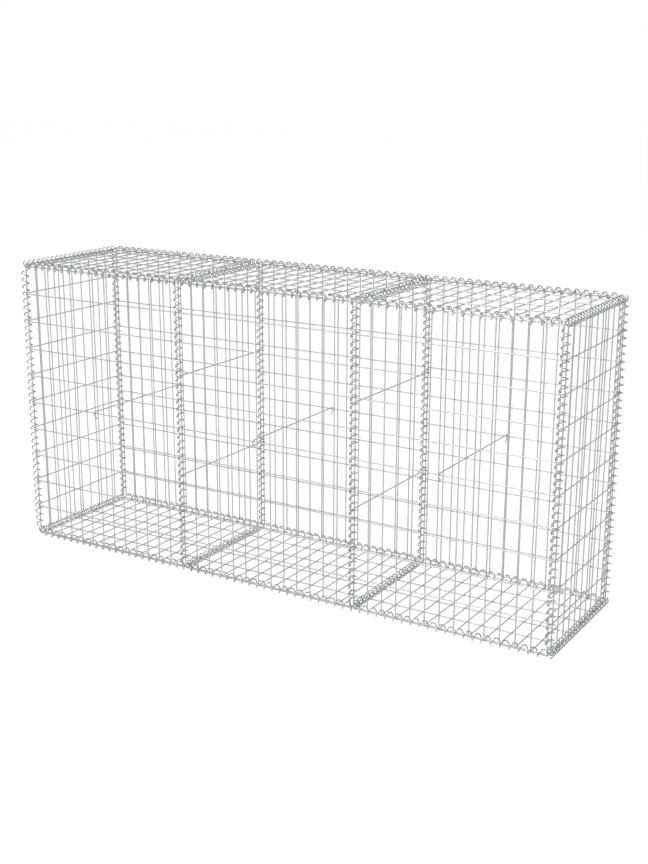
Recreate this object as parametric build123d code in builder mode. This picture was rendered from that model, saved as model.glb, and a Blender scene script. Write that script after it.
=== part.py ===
from build123d import *
from math import ceil, cos, pi, sin, sqrt
import os

os.makedirs("parts", exist_ok=True)

# Overall size of the empty basket, outside the spirals
basket_length = 2000.0
basket_depth = 500.0
basket_height = 1000.0
bay_count = 3

# Round wire of the spirals and ties, and the spiral binders, each turn a ring of straight lengths
wire = 4.0
spiral_outside = 28.0
lengths_per_turn = 10
spiral_end_clear = 16.3
spiral_meeting_clear = 2.3
end_spiral_end_clear = 2.0

# Welded mesh: bars of six sides with the section area of the round wire
bar_sides = 6
bar_across = 3.81
outer_layer = 6.0
weld_sink = 0.5
seat_radius = 6.9
wire_overhang = 3.0
cells_along_bay = 13
cells_high = 10
cells_across_end = 10
cells_across_lid = 5

# Turns of each spiral in one mesh cell
long_turns_per_cell_share = 5 / 3
upright_turns_per_cell_share = 4
end_turns_per_cell_share = 2
cross_turns_per_cell_share = 4

# Angle of each spiral where it passes the mesh wires, in degrees
long_pass_angle = 75.0
corner_pass_angle = 225.0
joint_pass_angle = 90.0
end_pass_angle = -77.0
cross_pass_angle = 180.0
full_turn = 360.0
half_turn = 180.0

# Tie wires from front to back
tie_gap = 0.3
bay_tie_cell_share = 5.79
bay_hook_radius = 6.0
bay_hook_sweep = 131.0
bay_tail = 20.0
joint_hook_radius = 4.5
joint_tail = 7.0
lower_tie_cell = 3
lower_tie_turns_share = 1.25
upper_tie_cell = 6
upper_tie_turns_share = 3.25

# Axes of the spirals
axis_inset = spiral_outside / 2
spiral_radius = spiral_outside / 2 - wire / 2 / cos(pi / lengths_per_turn)
span_long = basket_length - spiral_outside
span_deep = basket_depth - spiral_outside
span_high = basket_height - spiral_outside
bay_length = span_long / bay_count
half_long = span_long / 2
half_deep = span_deep / 2
half_high = span_high / 2
half_bay = bay_length / 2
middle_height = basket_height / 2

# Places of the mesh wires inside the spirals
inner_layer = outer_layer - (bar_across - weld_sink)
outer_inset = sqrt(seat_radius**2 - outer_layer**2)
inner_inset = sqrt(seat_radius**2 - inner_layer**2)
cell_long = (bay_length - 2 * inner_inset) / cells_along_bay
cell_high = (span_high - 2 * outer_inset) / cells_high
cell_end = (span_deep - 2 * inner_inset) / cells_across_end
cell_lid = (span_deep - 2 * outer_inset) / cells_across_lid

bay_names = ["left", "middle", "right"]
bay_centres = [-bay_length, 0, bay_length]
middle = Pos(0, 0, middle_height)
turn_none = Rotation(0, 0, 0)
turn_about_length = Rotation(half_turn, 0, 0)
turn_about_depth = Rotation(0, half_turn, 0)
turn_about_height = Rotation(0, 0, half_turn)


def save(piece, name):
    piece.part.label = name
    export_step(piece.part, os.path.join("parts", name + ".step"), write_pcurves=False)


# One welded mesh panel, lying flat: close wires inside along Y, wide-set wires outside along X
def mesh_panel(across, along, cells_across, cells_along):
    close_cell = (across - 2 * inner_inset) / cells_across
    wide_cell = (along - 2 * outer_inset) / cells_along
    close_length = along - 2 * outer_inset + 2 * wire_overhang
    wide_length = across - 2 * inner_inset + 2 * wire_overhang
    close_start = Plane(origin=(0, -close_length / 2, inner_layer), x_dir=(1, 0, 0), z_dir=(0, 1, 0))
    wide_start = Plane(origin=(-wide_length / 2, 0, outer_layer), x_dir=(0, 1, 0), z_dir=(1, 0, 0))
    with BuildPart() as panel:
        with BuildSketch(close_start):
            with GridLocations(close_cell, close_cell, cells_across + 1, 1):
                RegularPolygon(bar_across / 2, bar_sides, major_radius=False)
        extrude(amount=close_length)
        with BuildSketch(wide_start):
            with GridLocations(wide_cell, wide_cell, cells_along + 1, 1):
                RegularPolygon(bar_across / 2, bar_sides, major_radius=False)
        extrude(amount=wide_length)
    return panel


# One left-handed spiral binder, rising along Z from the origin
def spiral(length, pitch):
    count = ceil(lengths_per_turn * length / pitch)
    step = 2 * pi * length / pitch / count
    rise = length / count
    corners = [
        (spiral_radius * cos(step * i), -spiral_radius * sin(step * i), rise * i) for i in range(count + 1)
    ]
    with BuildPart() as coil:
        with BuildLine() as path:
            Polyline(*corners)
        with BuildSketch(Plane(origin=path.line @ 0, z_dir=path.line % 0)):
            Circle(wire / 2)
        sweep(transition=Transition.RIGHT)
    return coil


# Bay walls, front and back
wall_mesh = mesh_panel(bay_length, span_high, cells_along_bay, cells_high)
for bay_name, bay_centre in zip(bay_names, bay_centres):
    front_plane = Plane(origin=(bay_centre, -half_deep, 0), x_dir=(1, 0, 0), z_dir=(0, -1, 0))
    with BuildPart() as front_panel:
        with Locations(middle * front_plane.location):
            add(wall_mesh.part)
    save(front_panel, "front_panel_" + bay_name)
    back_plane = Plane(origin=(bay_centre, half_deep, 0), x_dir=(-1, 0, 0), z_dir=(0, 1, 0))
    with BuildPart() as back_panel:
        with Locations(middle * back_plane.location):
            add(wall_mesh.part)
    save(back_panel, "back_panel_" + bay_name)

# Lids and floors, one to a bay
lid_mesh = mesh_panel(bay_length, span_deep, cells_along_bay, cells_across_lid)
for bay_name, bay_centre in zip(bay_names, bay_centres):
    lid_plane = Plane(origin=(bay_centre, 0, half_high), x_dir=(1, 0, 0), z_dir=(0, 0, 1))
    with BuildPart() as lid_panel:
        with Locations(middle * lid_plane.location):
            add(lid_mesh.part)
    save(lid_panel, "lid_panel_" + bay_name)
    floor_plane = Plane(origin=(bay_centre, 0, -half_high), x_dir=(1, 0, 0), z_dir=(0, 0, -1))
    with BuildPart() as floor_panel:
        with Locations(middle * floor_plane.location):
            add(lid_mesh.part)
    save(floor_panel, "floor_panel_" + bay_name)

# End panels
end_mesh = mesh_panel(span_deep, span_high, cells_across_end, cells_high)
left_plane = Plane(origin=(-half_long, 0, 0), x_dir=(0, -1, 0), z_dir=(-1, 0, 0))
with BuildPart() as end_panel_left:
    with Locations(middle * left_plane.location):
        add(end_mesh.part)
save(end_panel_left, "end_panel_left")
right_plane = Plane(origin=(half_long, 0, 0), x_dir=(0, 1, 0), z_dir=(1, 0, 0))
with BuildPart() as end_panel_right:
    with Locations(middle * right_plane.location):
        add(end_mesh.part)
save(end_panel_right, "end_panel_right")

# Spirals along the four long edges, one length of spiral to each bay, all but meeting at the joints
long_pitch = cell_long / long_turns_per_cell_share
start_clears = [spiral_end_clear, spiral_meeting_clear, spiral_meeting_clear]
end_clears = [spiral_meeting_clear, spiral_meeting_clear, spiral_end_clear]
long_coils = []
for bay_centre, start_clear, end_clear in zip(bay_centres, start_clears, end_clears):
    long_coil = spiral(bay_length - start_clear - end_clear, long_pitch)
    long_lead = full_turn * (inner_inset - start_clear) / long_pitch
    long_coils.append((long_coil, bay_centre - half_bay + start_clear, long_pass_angle + long_lead))
long_edges = [
    ("front_top", turn_none),
    ("back_bottom", turn_about_length),
    ("front_bottom", turn_about_depth),
    ("back_top", turn_about_height),
]
for edge_name, turn in long_edges:
    with BuildPart() as long_spiral:
        for long_coil, long_start, long_angle in long_coils:
            long_axis = Plane(origin=(long_start, -half_deep, half_high), x_dir=(0, 1, 0), z_dir=(1, 0, 0))
            with Locations(middle * turn * long_axis.location * Rotation(0, 0, long_angle)):
                add(long_coil.part)
    save(long_spiral, "long_spiral_" + edge_name)

# Upright spirals at the four corners and at the joints between bays
upright_length = span_high - 2 * spiral_end_clear
upright_pitch = cell_high / upright_turns_per_cell_share
upright_coil = spiral(upright_length, upright_pitch)
upright_lead = full_turn * (outer_inset - spiral_end_clear) / upright_pitch
upright_corners = [
    ("front_left", turn_none),
    ("back_left", turn_about_length),
    ("front_right", turn_about_depth),
    ("back_right", turn_about_height),
]
for corner_name, turn in upright_corners:
    upright_bottom = -half_high + spiral_end_clear
    corner_axis = Plane(origin=(-half_long, -half_deep, upright_bottom), x_dir=(1, 0, 0), z_dir=(0, 0, 1))
    corner_turn = Rotation(0, 0, corner_pass_angle + upright_lead)
    with BuildPart() as corner_spiral:
        with Locations(middle * turn * corner_axis.location * corner_turn):
            add(upright_coil.part)
    save(corner_spiral, "corner_spiral_" + corner_name)
    joint_axis = Plane(origin=(-half_bay, -half_deep, upright_bottom), x_dir=(1, 0, 0), z_dir=(0, 0, 1))
    joint_turn = Rotation(0, 0, joint_pass_angle + upright_lead)
    with BuildPart() as joint_spiral:
        with Locations(middle * turn * joint_axis.location * joint_turn):
            add(upright_coil.part)
    save(joint_spiral, "joint_spiral_" + corner_name)

# Spirals across the depth, at the two ends and at the joints between bays
end_pitch = cell_end / end_turns_per_cell_share
end_coil = spiral(span_deep - 2 * end_spiral_end_clear, end_pitch)
end_start = -half_deep + end_spiral_end_clear
end_lead = full_turn * (inner_inset - end_spiral_end_clear) / end_pitch
cross_pitch = cell_lid / cross_turns_per_cell_share
cross_coil = spiral(span_deep - 2 * spiral_end_clear, cross_pitch)
cross_start = -half_deep + spiral_end_clear
cross_lead = full_turn * (outer_inset - spiral_end_clear) / cross_pitch
deep_edges = [
    ("top_left", turn_none),
    ("bottom_left", turn_about_length),
    ("bottom_right", turn_about_depth),
    ("top_right", turn_about_height),
]
for edge_name, turn in deep_edges:
    end_axis = Plane(origin=(-half_long, end_start, half_high), x_dir=(0, 0, 1), z_dir=(0, 1, 0))
    end_turn = Rotation(0, 0, end_pass_angle + end_lead)
    with BuildPart() as end_spiral:
        with Locations(middle * turn * end_axis.location * end_turn):
            add(end_coil.part)
    save(end_spiral, "end_spiral_" + edge_name)
    cross_axis = Plane(origin=(-half_bay, cross_start, half_high), x_dir=(0, 0, 1), z_dir=(0, 1, 0))
    cross_turn = Rotation(0, 0, cross_pass_angle + cross_lead)
    with BuildPart() as cross_spiral:
        with Locations(middle * turn * cross_axis.location * cross_turn):
            add(cross_coil.part)
    save(cross_spiral, "cross_spiral_" + edge_name)

# Tie wires through the middle of each bay, hooked over the front and back mesh
bay_tie_rise = bar_across / sqrt(3) + wire / 2 + tie_gap
bay_hook_centre = basket_depth / 2 - wire / 2 - bay_hook_radius
bay_tie_shift = -half_bay + inner_inset + bay_tie_cell_share * cell_long
for bay_name, bay_centre in zip(bay_names, bay_centres):
    tie_place = Plane(
        origin=(bay_centre + bay_tie_shift, 0, middle_height + bay_tie_rise),
        x_dir=(0, 1, 0),
        z_dir=(1, 0, 0),
    )
    with BuildPart() as bay_tie:
        with BuildLine(tie_place) as tie_path:
            rod = Line((-bay_hook_centre, 0), (bay_hook_centre, 0))
            back_hook = JernArc(
                start=rod @ 1, tangent=rod % 1, radius=bay_hook_radius, arc_size=-bay_hook_sweep
            )
            back_tail = PolarLine(start=back_hook @ 1, length=bay_tail, direction=back_hook % 1)
            front_hook = JernArc(
                start=rod @ 0, tangent=(-1, 0), radius=bay_hook_radius, arc_size=bay_hook_sweep
            )
            front_tail = PolarLine(start=front_hook @ 1, length=bay_tail, direction=front_hook % 1)
        with BuildSketch(Plane(origin=front_tail @ 1, z_dir=front_tail % 1)):
            Circle(wire / 2)
        sweep()
    save(bay_tie, "bay_tie_" + bay_name)

# Tie wires at the joints between bays, hooked round the edge wires inside the upright spirals
joint_hook_end = half_deep + inner_layer
joint_tie_skew = inner_inset - joint_hook_radius
joint_rod_half = sqrt(joint_hook_end**2 + joint_tie_skew**2)
first_row = axis_inset + outer_inset
lower_height = first_row + lower_tie_cell * cell_high + lower_tie_turns_share * upright_pitch
upper_height = first_row + upper_tie_cell * cell_high + upper_tie_turns_share * upright_pitch
joint_ties = [
    ("lower_left", -half_bay, lower_height),
    ("upper_left", -half_bay, upper_height),
    ("lower_right", half_bay, lower_height),
    ("upper_right", half_bay, upper_height),
]
for tie_name, tie_joint, tie_height in joint_ties:
    tie_place = Plane(
        origin=(tie_joint, 0, tie_height), x_dir=(joint_tie_skew, joint_hook_end, 0), z_dir=(0, 0, 1)
    )
    with BuildPart() as joint_tie:
        with BuildLine(tie_place) as tie_path:
            rod = Line((-joint_rod_half, 0), (joint_rod_half, 0))
            back_hook = JernArc(
                start=rod @ 1, tangent=(1, 0), radius=joint_hook_radius, arc_size=-half_turn
            )
            back_tail = PolarLine(start=back_hook @ 1, length=joint_tail, direction=back_hook % 1)
            front_hook = JernArc(
                start=rod @ 0, tangent=(-1, 0), radius=joint_hook_radius, arc_size=-half_turn
            )
            front_tail = PolarLine(start=front_hook @ 1, length=joint_tail, direction=front_hook % 1)
        with BuildSketch(Plane(origin=front_tail @ 1, z_dir=front_tail % 1)):
            Circle(wire / 2)
        sweep()
    save(joint_tie, "joint_tie_" + tie_name)
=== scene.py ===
import math

import bmesh
import bpy
from mathutils import Matrix, Vector


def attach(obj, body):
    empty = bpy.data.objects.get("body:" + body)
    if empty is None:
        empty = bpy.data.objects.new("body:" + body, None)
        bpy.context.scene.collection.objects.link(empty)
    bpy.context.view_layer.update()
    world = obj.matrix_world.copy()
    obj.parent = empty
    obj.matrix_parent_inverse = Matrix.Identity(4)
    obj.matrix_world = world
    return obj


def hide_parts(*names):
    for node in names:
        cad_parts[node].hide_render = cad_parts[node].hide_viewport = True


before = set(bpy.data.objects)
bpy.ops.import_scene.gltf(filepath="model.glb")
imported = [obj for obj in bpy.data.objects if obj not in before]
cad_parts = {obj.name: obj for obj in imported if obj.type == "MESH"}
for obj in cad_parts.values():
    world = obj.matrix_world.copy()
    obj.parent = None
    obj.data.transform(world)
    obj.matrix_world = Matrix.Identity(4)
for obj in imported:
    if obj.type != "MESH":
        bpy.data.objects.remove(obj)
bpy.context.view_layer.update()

# Mesh panels: each side of each bay is a flat sheet of galvanised wire, welded wherever two wires
# cross. The close-set wires lie inside the basket and the wide-set wires outside, and the edge wires
# lie inside the spirals that lace neighbouring panels together.
basket_length = 2.0
basket_depth = 0.5
basket_height = 1.0
bay_count = 3
wire_radius = 0.002
spiral_outside = 0.028
seat_radius = 0.0069
outer_layer = 0.006
bar_across = 0.00381
weld_sink = 0.0005
wire_overhang = 0.003
wire_sides = 12
weld_radius = 0.0026
bead_segments = 8
bead_rings = 5
bead_swell_least = (0.9, 0.9, 0.55)
bead_swell_most = (1.2, 1.2, 0.7)
bead_seed = 7
cells_along_bay = 13
cells_high = 10
cells_across_end = 10
cells_across_lid = 5
inner_layer = outer_layer - bar_across + weld_sink
outer_inset = math.sqrt(seat_radius**2 - outer_layer**2)
inner_inset = math.sqrt(seat_radius**2 - inner_layer**2)
span_long = basket_length - spiral_outside
span_deep = basket_depth - spiral_outside
span_high = basket_height - spiral_outside
bay_length = span_long / bay_count
half_long = span_long / 2
half_deep = span_deep / 2
half_high = span_high / 2
half_bay = bay_length / 2
bay_names = ["left", "middle", "right"]
bay_centres = [-bay_length, 0.0, bay_length]
to_mid_height = Matrix.Translation((0, 0, basket_height / 2))
zinc_metal_share = 0.85
zinc_cloud_scale = 14.0
zinc_cloud_detail = 4.0
zinc_fleck_detail = 6.0
zinc_facet_share = 0.4
zinc_dull_below = 0.8
zinc_bright_above = 1.6
zinc_roughness_spread = 0.16
zinc_pit_strength = 0.25
zinc_pit_depth = 0.0003
zinc_facet_scale = 420.0
weld_facet_scale = 900.0
mesh_dull = (0.40, 0.405, 0.41)
mesh_bright = (0.58, 0.585, 0.59)
mesh_roughness = 0.34
weld_dull = (0.26, 0.26, 0.265)
weld_bright = (0.44, 0.44, 0.445)
weld_roughness = 0.46


def put(tree, kind, inputs, out=0, **settings):
    node = tree.nodes.new(kind)
    for key, value in settings.items():
        setattr(node, key, value)
    for name, value in inputs.items():
        if isinstance(value, bpy.types.NodeSocket):
            tree.links.new(value, node.inputs[name])
        else:
            node.inputs[name].default_value = value
    return node.outputs[out] if len(node.outputs) else node


def zinc_finish(name, dull, bright, roughness, facets):
    finish = bpy.data.materials.new(name)
    finish.use_nodes = True
    tree = finish.node_tree
    metal = tree.nodes["Principled BSDF"]
    place = tree.nodes.new("ShaderNodeTexCoord").outputs["Object"]
    cloud = put(
        tree,
        "ShaderNodeTexNoise",
        {"Vector": place, "Scale": zinc_cloud_scale, "Detail": zinc_cloud_detail},
    )
    fleck = put(
        tree, "ShaderNodeTexNoise", {"Vector": place, "Scale": facets, "Detail": zinc_fleck_detail}
    )
    spangle = put(tree, "ShaderNodeTexVoronoi", {"Vector": place, "Scale": facets}, out="Color")
    facet = put(tree, "ShaderNodeSeparateColor", {"Color": spangle})
    coarse = put(tree, "ShaderNodeMath", {0: cloud, 1: fleck}, operation="ADD")
    blend = put(
        tree, "ShaderNodeMath", {0: facet, 1: zinc_facet_share, 2: coarse}, operation="MULTIPLY_ADD"
    )
    spread = put(
        tree,
        "ShaderNodeMapRange",
        {"Value": blend, "From Min": zinc_dull_below, "From Max": zinc_bright_above},
    )
    tone = tree.nodes.new("ShaderNodeValToRGB")
    tone.color_ramp.elements[0].color = (*dull, 1)
    tone.color_ramp.elements[1].color = (*bright, 1)
    tree.links.new(spread, tone.inputs["Fac"])
    tree.links.new(tone.outputs["Color"], metal.inputs["Base Color"])
    rough = put(
        tree,
        "ShaderNodeMapRange",
        {"Value": facet, "To Min": roughness, "To Max": roughness + zinc_roughness_spread},
    )
    tree.links.new(rough, metal.inputs["Roughness"])
    pits = put(
        tree,
        "ShaderNodeBump",
        {"Height": fleck, "Strength": zinc_pit_strength, "Distance": zinc_pit_depth},
    )
    tree.links.new(pits, metal.inputs["Normal"])
    metal.inputs["Metallic"].default_value = zinc_metal_share
    return finish


mesh_zinc = zinc_finish("mesh_zinc", mesh_dull, mesh_bright, mesh_roughness, zinc_facet_scale)
weld_zinc = zinc_finish("weld_zinc", weld_dull, weld_bright, weld_roughness, weld_facet_scale)


def panel_tree():
    tree = bpy.data.node_groups.new("welded panel", "GeometryNodeTree")
    sizes = [
        ("Close wires", "NodeSocketInt"),
        ("Wide wires", "NodeSocketInt"),
        ("Close span", "NodeSocketFloat"),
        ("Wide span", "NodeSocketFloat"),
        ("Overhang", "NodeSocketFloat"),
        ("Wire radius", "NodeSocketFloat"),
        ("Inner layer", "NodeSocketFloat"),
        ("Outer layer", "NodeSocketFloat"),
        ("Weld radius", "NodeSocketFloat"),
    ]
    for name, kind in sizes:
        tree.interface.new_socket(name=name, in_out="INPUT", socket_type=kind)
    tree.interface.new_socket(name="Panel", in_out="OUTPUT", socket_type="NodeSocketGeometry")
    given = tree.nodes.new("NodeGroupInput").outputs
    profile = put(
        tree,
        "GeometryNodeCurvePrimitiveCircle",
        {"Resolution": wire_sides, "Radius": given["Wire radius"]},
    )
    sets = []
    runs = [
        ("Close", "Wide", "Inner layer", "X", "Y"),
        ("Wide", "Close", "Outer layer", "Y", "X"),
    ]
    for own, other, layer, across, along in runs:
        own_half = put(tree, "ShaderNodeMath", {0: given[own + " span"], 1: 0.5}, operation="MULTIPLY")
        own_back = put(tree, "ShaderNodeMath", {0: own_half, 1: -1.0}, operation="MULTIPLY")
        reach = put(
            tree,
            "ShaderNodeMath",
            {0: given[other + " span"], 1: 0.5, 2: given["Overhang"]},
            operation="MULTIPLY_ADD",
        )
        reach_back = put(tree, "ShaderNodeMath", {0: reach, 1: -1.0}, operation="MULTIPLY")
        near = put(tree, "ShaderNodeCombineXYZ", {along: reach_back})
        far = put(tree, "ShaderNodeCombineXYZ", {along: reach})
        line = put(tree, "GeometryNodeCurvePrimitiveLine", {"Start": near, "End": far})
        wire = put(
            tree,
            "GeometryNodeCurveToMesh",
            {"Curve": line, "Profile Curve": profile, "Fill Caps": True},
        )
        first = put(tree, "ShaderNodeCombineXYZ", {across: own_back, "Z": given[layer]})
        last = put(tree, "ShaderNodeCombineXYZ", {across: own_half, "Z": given[layer]})
        places = put(
            tree,
            "GeometryNodeMeshLine",
            {"Count": given[own + " wires"], "Start Location": first, "Offset": last},
            mode="END_POINTS",
        )
        sets.append(put(tree, "GeometryNodeInstanceOnPoints", {"Points": places, "Instance": wire}))
    crossings = put(
        tree,
        "GeometryNodeMeshGrid",
        {
            "Size X": given["Close span"],
            "Size Y": given["Wide span"],
            "Vertices X": given["Close wires"],
            "Vertices Y": given["Wide wires"],
        },
    )
    layers = put(
        tree, "ShaderNodeMath", {0: given["Inner layer"], 1: given["Outer layer"]}, operation="ADD"
    )
    contact = put(tree, "ShaderNodeMath", {0: layers, 1: 0.5}, operation="MULTIPLY")
    lift = put(tree, "ShaderNodeCombineXYZ", {"Z": contact})
    lifted = put(tree, "GeometryNodeTransform", {"Geometry": crossings, "Translation": lift})
    bead = put(
        tree,
        "GeometryNodeMeshUVSphere",
        {"Segments": bead_segments, "Rings": bead_rings, "Radius": given["Weld radius"]},
    )
    marked = put(
        tree,
        "GeometryNodeStoreNamedAttribute",
        {"Geometry": bead, "Name": "weld", "Value": True},
        data_type="BOOLEAN",
        domain="FACE",
    )
    swell = put(
        tree,
        "FunctionNodeRandomValue",
        {"Min": bead_swell_least, "Max": bead_swell_most, "Seed": bead_seed},
        data_type="FLOAT_VECTOR",
    )
    welds = put(
        tree,
        "GeometryNodeInstanceOnPoints",
        {"Points": lifted, "Instance": marked, "Scale": swell},
    )
    whole = tree.nodes.new("GeometryNodeJoinGeometry")
    for part in [welds, *sets]:
        tree.links.new(part, whole.inputs[0])
    real = put(tree, "GeometryNodeRealizeInstances", {"Geometry": whole.outputs[0]})
    smooth = put(tree, "GeometryNodeSetShadeSmooth", {"Geometry": real})
    coated = put(tree, "GeometryNodeSetMaterial", {"Geometry": smooth, "Material": mesh_zinc})
    weld_faces = put(tree, "GeometryNodeInputNamedAttribute", {"Name": "weld"}, data_type="BOOLEAN")
    dulled = put(
        tree,
        "GeometryNodeSetMaterial",
        {"Geometry": coated, "Selection": weld_faces, "Material": weld_zinc},
    )
    put(tree, "NodeGroupOutput", {"Panel": dulled})
    return tree


def plain_mesh(tree, sizes, start=None):
    carrier = bpy.data.objects.new("carrier", start or bpy.data.meshes.new("carrier"))
    bpy.context.scene.collection.objects.link(carrier)
    modifier = carrier.modifiers.new("shape", "NODES")
    modifier.node_group = tree
    for item in tree.interface.items_tree:
        if item.item_type == "SOCKET" and item.in_out == "INPUT" and item.name in sizes:
            modifier[item.identifier] = sizes[item.name]
    view_layer = bpy.context.evaluated_depsgraph_get()
    result = bpy.data.meshes.new_from_object(carrier.evaluated_get(view_layer))
    bpy.data.objects.remove(carrier)
    return result


def add_piece(name, mesh, node):
    mesh.name = name
    piece = bpy.data.objects.new(name, mesh)
    bpy.context.scene.collection.objects.link(piece)
    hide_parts(node)
    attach(piece, "root")


def axes(origin, along_x, along_y, along_z):
    return Matrix.Translation(origin) @ Matrix((along_x, along_y, along_z)).transposed().to_4x4()


panel_shape = panel_tree()


def panel_mesh(across, along, cells_across, cells_along):
    sizes = {
        "Close wires": cells_across + 1,
        "Wide wires": cells_along + 1,
        "Close span": across - 2 * inner_inset,
        "Wide span": along - 2 * outer_inset,
        "Overhang": wire_overhang,
        "Wire radius": wire_radius,
        "Inner layer": inner_layer,
        "Outer layer": outer_layer,
        "Weld radius": weld_radius,
    }
    return plain_mesh(panel_shape, sizes)


wall_mesh = panel_mesh(bay_length, span_high, cells_along_bay, cells_high)
lid_mesh = panel_mesh(bay_length, span_deep, cells_along_bay, cells_across_lid)
end_mesh = panel_mesh(span_deep, span_high, cells_across_end, cells_high)
panel_places = []
for bay_name, centre in zip(bay_names, bay_centres):
    panel_places += [
        ("front_panel_" + bay_name, wall_mesh, (centre, -half_deep, 0), (1, 0, 0), (0, 0, 1), (0, -1, 0)),
        ("back_panel_" + bay_name, wall_mesh, (centre, half_deep, 0), (-1, 0, 0), (0, 0, 1), (0, 1, 0)),
        ("lid_panel_" + bay_name, lid_mesh, (centre, 0, half_high), (1, 0, 0), (0, 1, 0), (0, 0, 1)),
        ("floor_panel_" + bay_name, lid_mesh, (centre, 0, -half_high), (1, 0, 0), (0, -1, 0), (0, 0, -1)),
    ]
panel_places += [
    ("end_panel_left", end_mesh, (-half_long, 0, 0), (0, -1, 0), (0, 0, 1), (-1, 0, 0)),
    ("end_panel_right", end_mesh, (half_long, 0, 0), (0, 1, 0), (0, 0, 1), (1, 0, 0)),
]
for node, sheet, origin, along_x, along_y, along_z in panel_places:
    mesh = sheet.copy()
    mesh.transform(to_mid_height @ axes(origin, along_x, along_y, along_z))
    add_piece(node + "_wires", mesh, node)

# Long spirals: left-handed coils of galvanised wire, screwed along the four long edges so that each
# turn passes round the edge wires of two panels. There is one length to a bay, three in a row, and
# neighbouring lengths all but meet at the joints.
spiral_radius = spiral_outside / 2 - wire_radius
spiral_end_clear = 0.0163
spiral_meeting_clear = 0.0023
long_turns_per_cell = 5 / 3
long_pass_angle = 75.0
full_turn = 360.0
cell_long = (bay_length - 2 * inner_inset) / cells_along_bay
long_pitch = cell_long / long_turns_per_cell
spiral_sides = 10
steps_per_turn = 24
# Spiral zinc: its grey runs in small random flecks from much darker to much lighter than the mesh wires.
# Part of this is zinc tone, and part is painted shade and painted highlight standing in for the coils'
# dark undersides, contact shade where wires meet, and glints.
spiral_dark_with_painted_shade = (0.24, 0.244, 0.248)
spiral_light_with_painted_highlight = (0.66, 0.664, 0.668)
spiral_roughness = 0.14
spiral_zinc_with_painted_light = zinc_finish("spiral_zinc_with_painted_light", spiral_dark_with_painted_shade, spiral_light_with_painted_highlight, spiral_roughness, zinc_facet_scale)


def spiral_tree():
    tree = bpy.data.node_groups.new("spiral binder", "GeometryNodeTree")
    for name in ["Length", "Turns", "Radius", "Wire radius"]:
        tree.interface.new_socket(name=name, in_out="INPUT", socket_type="NodeSocketFloat")
    tree.interface.new_socket(name="Spiral", in_out="OUTPUT", socket_type="NodeSocketGeometry")
    given = tree.nodes.new("NodeGroupInput").outputs
    path = put(
        tree,
        "GeometryNodeCurveSpiral",
        {
            "Resolution": steps_per_turn,
            "Rotations": given["Turns"],
            "Start Radius": given["Radius"],
            "End Radius": given["Radius"],
            "Height": given["Length"],
            "Reverse": False,
        },
    )
    profile = put(
        tree,
        "GeometryNodeCurvePrimitiveCircle",
        {"Resolution": spiral_sides, "Radius": given["Wire radius"]},
    )
    coil = put(
        tree, "GeometryNodeCurveToMesh", {"Curve": path, "Profile Curve": profile, "Fill Caps": True}
    )
    real = put(tree, "GeometryNodeRealizeInstances", {"Geometry": coil})
    smooth = put(tree, "GeometryNodeSetShadeSmooth", {"Geometry": real})
    coated = put(tree, "GeometryNodeSetMaterial", {"Geometry": smooth, "Material": spiral_zinc_with_painted_light})
    put(tree, "NodeGroupOutput", {"Spiral": coated})
    return tree


spiral_shape = spiral_tree()


def spiral_mesh(length, pitch):
    sizes = {
        "Length": length,
        "Turns": length / pitch,
        "Radius": spiral_radius,
        "Wire radius": wire_radius,
    }
    return plain_mesh(spiral_shape, sizes)


def turned(angle):
    return Matrix.Rotation(math.radians(angle), 4, "Z")


turn_none = Matrix()
turn_about_length = Matrix.Rotation(math.pi, 4, "X")
turn_about_depth = Matrix.Rotation(math.pi, 4, "Y")
turn_about_height = Matrix.Rotation(math.pi, 4, "Z")
start_clears = [spiral_end_clear, spiral_meeting_clear, spiral_meeting_clear]
end_clears = [spiral_meeting_clear, spiral_meeting_clear, spiral_end_clear]
long_coils = []
for centre, start_clear, end_clear in zip(bay_centres, start_clears, end_clears):
    coil = spiral_mesh(bay_length - start_clear - end_clear, long_pitch)
    lead = full_turn * (inner_inset - start_clear) / long_pitch
    start = (centre - half_bay + start_clear, -half_deep, half_high)
    coil.transform(axes(start, (0, 1, 0), (0, 0, 1), (1, 0, 0)) @ turned(long_pass_angle + lead))
    long_coils.append(coil)
long_edges = [
    ("front_top", turn_none),
    ("back_bottom", turn_about_length),
    ("front_bottom", turn_about_depth),
    ("back_top", turn_about_height),
]
for edge_name, turn in long_edges:
    lengths = bmesh.new()
    for coil in long_coils:
        lengths.from_mesh(coil)
    mesh = bpy.data.meshes.new("lengths")
    lengths.to_mesh(mesh)
    lengths.free()
    mesh.materials.append(spiral_zinc_with_painted_light)
    mesh.transform(to_mid_height @ turn)
    add_piece("long_spiral_" + edge_name + "_wire", mesh, "long_spiral_" + edge_name)

# Upright spirals: the same coils standing at the four corners and at the joints between bays, with
# four turns to a mesh cell. At a joint each turn passes round the edge wires of both neighbouring
# bays, and the coil stops short of the long spirals above and below.
upright_turns_per_cell = 4
corner_pass_angle = 225.0
joint_pass_angle = 90.0
cell_high = (span_high - 2 * outer_inset) / cells_high
upright_pitch = cell_high / upright_turns_per_cell
upright_coil = spiral_mesh(span_high - 2 * spiral_end_clear, upright_pitch)
upright_lead = full_turn * (outer_inset - spiral_end_clear) / upright_pitch
upright_start = -half_high + spiral_end_clear
corners = [
    ("front_left", turn_none),
    ("back_left", turn_about_length),
    ("front_right", turn_about_depth),
    ("back_right", turn_about_height),
]
uprights = [
    ("corner_spiral_", -half_long, corner_pass_angle),
    ("joint_spiral_", -half_bay, joint_pass_angle),
]
for kind, across, pass_angle in uprights:
    stand = axes((across, -half_deep, upright_start), (1, 0, 0), (0, 1, 0), (0, 0, 1))
    for corner_name, turn in corners:
        mesh = upright_coil.copy()
        mesh.transform(to_mid_height @ turn @ stand @ turned(pass_angle + upright_lead))
        add_piece(kind + corner_name + "_wire", mesh, kind + corner_name)

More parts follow.
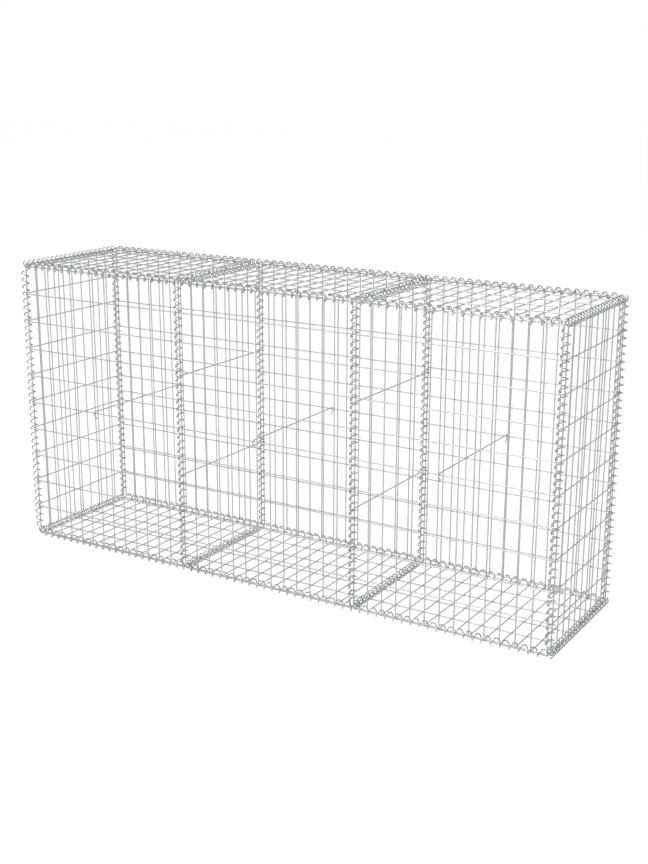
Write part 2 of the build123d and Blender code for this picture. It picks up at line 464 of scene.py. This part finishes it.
# Depth spirals: the same coils lying from front to back, at the top and bottom of the two ends and
# of the joints between bays. They lace lids and floors to the end panels and to each other.
end_spiral_end_clear = 0.002
end_turns_per_cell = 2
cross_turns_per_cell = 4
end_pass_angle = -77.0
cross_pass_angle = 180.0
cell_end = (span_deep - 2 * inner_inset) / cells_across_end
cell_lid = (span_deep - 2 * outer_inset) / cells_across_lid
end_pitch = cell_end / end_turns_per_cell
cross_pitch = cell_lid / cross_turns_per_cell
deep_edges = [
    ("top_left", turn_none),
    ("bottom_left", turn_about_length),
    ("bottom_right", turn_about_depth),
    ("top_right", turn_about_height),
]
deep_kinds = [
    ("end_spiral_", -half_long, end_pitch, end_pass_angle, inner_inset, end_spiral_end_clear),
    ("cross_spiral_", -half_bay, cross_pitch, cross_pass_angle, outer_inset, spiral_end_clear),
]
for kind, across, pitch, pass_angle, inset, end_clear in deep_kinds:
    deep_coil = spiral_mesh(span_deep - 2 * end_clear, pitch)
    deep_lead = full_turn * (inset - end_clear) / pitch
    lie = axes((across, -half_deep + end_clear, half_high), (0, 0, 1), (1, 0, 0), (0, 1, 0))
    for edge_name, turn in deep_edges:
        mesh = deep_coil.copy()
        mesh.transform(to_mid_height @ turn @ lie @ turned(pass_angle + deep_lead))
        add_piece(kind + edge_name + "_wire", mesh, kind + edge_name)

# Bay ties: single straight wires through the middle of each bay that keep the front and back walls
# from bulging. Each end is hooked down over a long wire of the wall at mid-height.
tie_gap = 0.0003
bay_tie_cell = 5.79
bay_hook_radius = 0.006
bay_hook_sweep = math.radians(131.0)
bay_tail = 0.020
bend_steps = 14
tie_dull = (0.38, 0.385, 0.39)
tie_bright = (0.56, 0.565, 0.57)
tie_roughness = 0.34
tie_zinc = zinc_finish("tie_zinc", tie_dull, tie_bright, tie_roughness, zinc_facet_scale)


def tie_tree():
    tree = bpy.data.node_groups.new("hooked tie", "GeometryNodeTree")
    tree.interface.new_socket(name="Route", in_out="INPUT", socket_type="NodeSocketGeometry")
    for name in ["Hook radius", "Wire radius"]:
        tree.interface.new_socket(name=name, in_out="INPUT", socket_type="NodeSocketFloat")
    tree.interface.new_socket(name="Tie", in_out="OUTPUT", socket_type="NodeSocketGeometry")
    given = tree.nodes.new("NodeGroupInput").outputs
    route = put(tree, "GeometryNodeMeshToCurve", {"Mesh": given["Route"]})
    bent = put(
        tree,
        "GeometryNodeFilletCurve",
        {"Curve": route, "Count": bend_steps, "Radius": given["Hook radius"]},
        mode="POLY",
    )
    profile = put(
        tree,
        "GeometryNodeCurvePrimitiveCircle",
        {"Resolution": wire_sides, "Radius": given["Wire radius"]},
    )
    tie = put(
        tree, "GeometryNodeCurveToMesh", {"Curve": bent, "Profile Curve": profile, "Fill Caps": True}
    )
    real = put(tree, "GeometryNodeRealizeInstances", {"Geometry": tie})
    smooth = put(tree, "GeometryNodeSetShadeSmooth", {"Geometry": real})
    coated = put(tree, "GeometryNodeSetMaterial", {"Geometry": smooth, "Material": tie_zinc})
    put(tree, "NodeGroupOutput", {"Tie": coated})
    return tree


tie_shape = tie_tree()


def tie_mesh(route, hook_radius):
    line = bpy.data.meshes.new("route")
    line.from_pydata(route, [(i, i + 1) for i in range(len(route) - 1)], [])
    return plain_mesh(tie_shape, {"Hook radius": hook_radius, "Wire radius": wire_radius}, line)


bay_tie_rise = bar_across / math.sqrt(3) + wire_radius + tie_gap
bay_tie_shift = -half_bay + inner_inset + bay_tie_cell * cell_long
bend_reach = bay_hook_radius * math.tan(bay_hook_sweep / 2)
bay_bend = basket_depth / 2 - wire_radius - bay_hook_radius + bend_reach
tail_reach = bend_reach + bay_tail
tail_in = bay_bend + tail_reach * math.cos(bay_hook_sweep)
tail_down = -tail_reach * math.sin(bay_hook_sweep)
bay_route = [(0, -tail_in, tail_down), (0, -bay_bend, 0), (0, bay_bend, 0), (0, tail_in, tail_down)]
for bay_name, centre in zip(bay_names, bay_centres):
    mesh = tie_mesh(bay_route, bay_hook_radius)
    mesh.transform(to_mid_height @ Matrix.Translation((centre + bay_tie_shift, 0, bay_tie_rise)))
    add_piece("bay_tie_" + bay_name + "_wire", mesh, "bay_tie_" + bay_name)

# Joint ties: straight wires from the front wall to the back wall at each joint between bays, one low
# and one high. Each end is bent right round an edge wire, between two turns of the upright spiral.
joint_hook_radius = 0.0045
joint_tail = 0.007
lower_cell = 3
lower_turns = 1.25
upper_cell = 6
upper_turns = 3.25
joint_hook_end = half_deep + inner_layer
joint_skew = inner_inset - joint_hook_radius
joint_bend = joint_hook_end + joint_hook_radius
hook_width = 2 * joint_hook_radius
tail_end = joint_hook_end - joint_tail
joint_route = [
    (hook_width, tail_end, 0),
    (hook_width, joint_bend, 0),
    (0, joint_bend, 0),
    (0, -joint_bend, 0),
    (-hook_width, -joint_bend, 0),
    (-hook_width, -tail_end, 0),
]
joint_turn = Matrix.Rotation(-math.atan2(joint_skew, joint_hook_end), 4, "Z")
first_row = -half_high + outer_inset
lower_height = first_row + lower_cell * cell_high + lower_turns * upright_pitch
upper_height = first_row + upper_cell * cell_high + upper_turns * upright_pitch
joint_ties = [
    ("lower_left", -half_bay, lower_height),
    ("upper_left", -half_bay, upper_height),
    ("lower_right", half_bay, lower_height),
    ("upper_right", half_bay, upper_height),
]
for tie_name, across, height in joint_ties:
    mesh = tie_mesh(joint_route, joint_hook_radius)
    mesh.transform(to_mid_height @ Matrix.Translation((across, 0, height)) @ joint_turn)
    add_piece("joint_tie_" + tie_name + "_wire", mesh, "joint_tie_" + tie_name)

# Floor: a wide flat studio floor, painted white, that the basket stands on. It is pale enough to run
# into the white surroundings, and it keeps the basket's soft shadow.
floor_half = 30.0
floor_paint_grey = 0.8
floor_shade_grey = 0.12
floor_white_level = 0.94
floor_mesh = bpy.data.meshes.new("studio_floor")
floor_corners = [
    (-floor_half, -floor_half, 0),
    (floor_half, -floor_half, 0),
    (floor_half, floor_half, 0),
    (-floor_half, floor_half, 0),
]
floor_mesh.from_pydata(floor_corners, [], [(0, 1, 2, 3)])
studio_floor = bpy.data.objects.new("studio_floor", floor_mesh)
bpy.context.scene.collection.objects.link(studio_floor)
floor_white = bpy.data.materials.new("floor_white")
floor_white.use_nodes = True
floor_tree = floor_white.node_tree
floor_tree.nodes.remove(floor_tree.nodes["Principled BSDF"])


def seen_rays(tree):
    ray = tree.nodes.new("ShaderNodeLightPath").outputs
    mirrored = put(
        tree, "ShaderNodeMath", {0: ray["Is Camera Ray"], 1: ray["Is Glossy Ray"]}, operation="MAXIMUM"
    )
    return put(tree, "ShaderNodeMath", {0: mirrored, 1: ray["Is Transmission Ray"]}, operation="MAXIMUM")


def grey(level):
    return (level, level, level, 1)


floor_paint = put(floor_tree, "ShaderNodeBsdfDiffuse", {"Color": grey(floor_paint_grey)})
floor_shade = put(floor_tree, "ShaderNodeBsdfDiffuse", {"Color": grey(floor_shade_grey)})
floor_glow = put(floor_tree, "ShaderNodeEmission", {"Color": grey(1.0), "Strength": floor_white_level})
floor_seen = put(floor_tree, "ShaderNodeAddShader", {0: floor_shade, 1: floor_glow})
floor_mixed = put(
    floor_tree, "ShaderNodeMixShader", {0: seen_rays(floor_tree), 1: floor_paint, 2: floor_seen}
)
floor_tree.links.new(floor_mixed, floor_tree.nodes["Material Output"].inputs["Surface"])
floor_mesh.materials.append(floor_white)

# Light: white studio walls under a greyer ceiling, which the zinc mirrors, and one broad soft lamp that
# hangs high in front of the basket and points at its middle.
studio_fill = 0.45
studio_white = 1.0
studio_ceiling = 0.4
wall_top = 0.3
ceiling_edge = 0.6
lamp_place = Vector((-0.4, -3.6, 7.4))
lamp_target = Vector((0.0, 0.0, 0.5))
lamp_width = 5.0
lamp_depth = 4.0
lamp_power = 660.0
studio = bpy.context.scene.world or bpy.data.worlds.new("studio")
bpy.context.scene.world = studio
studio.use_nodes = True
studio_tree = studio.node_tree
studio_light = studio_tree.nodes["Background"]
studio_light.inputs["Color"].default_value = grey(1.0)
studio_way = put(studio_tree, "ShaderNodeTexCoord", {}, out="Generated")
studio_height = put(studio_tree, "ShaderNodeSeparateXYZ", {"Vector": studio_way}, out="Z")
studio_seen = put(
    studio_tree,
    "ShaderNodeMapRange",
    {
        "Value": studio_height,
        "From Min": wall_top,
        "From Max": ceiling_edge,
        "To Min": studio_white,
        "To Max": studio_ceiling,
    },
)
studio_level = put(
    studio_tree,
    "ShaderNodeMapRange",
    {"Value": seen_rays(studio_tree), "To Min": studio_fill, "To Max": studio_seen},
)
studio_tree.links.new(studio_level, studio_light.inputs["Strength"])
lamp_data = bpy.data.lights.new("high_softbox", "AREA")
lamp_data.shape = "RECTANGLE"
lamp_data.size = lamp_width
lamp_data.size_y = lamp_depth
lamp_data.energy = lamp_power
lamp = bpy.data.objects.new("high_softbox", lamp_data)
bpy.context.scene.collection.objects.link(lamp)
lamp_aim = (lamp_target - lamp_place).to_track_quat("-Z", "Y")
lamp.matrix_world = Matrix.Translation(lamp_place) @ lamp_aim.to_matrix().to_4x4()

# Camera: at the photograph's viewing angle, to the right of the front and somewhat higher than the lid,
# looking down on it.
camera_place = (2.2176, -3.5092, 1.6523)
camera_azimuth = math.radians(31.357)
camera_elevation = math.radians(15.782)
camera_roll = math.radians(0.178)
camera_lens = 54.13
camera_sensor = 36.0
camera_data = bpy.data.cameras.new("camera")
camera_data.lens = camera_lens
camera_data.sensor_width = camera_sensor
camera = bpy.data.objects.new("camera", camera_data)
bpy.context.scene.collection.objects.link(camera)
camera.matrix_world = (
    Matrix.Translation(camera_place)
    @ Matrix.Rotation(camera_azimuth, 4, "Z")
    @ Matrix.Rotation(math.pi / 2 - camera_elevation, 4, "X")
    @ Matrix.Rotation(camera_roll, 4, "Z")
)
bpy.context.scene.camera = camera
bpy.context.scene.view_settings.view_transform = "Standard"
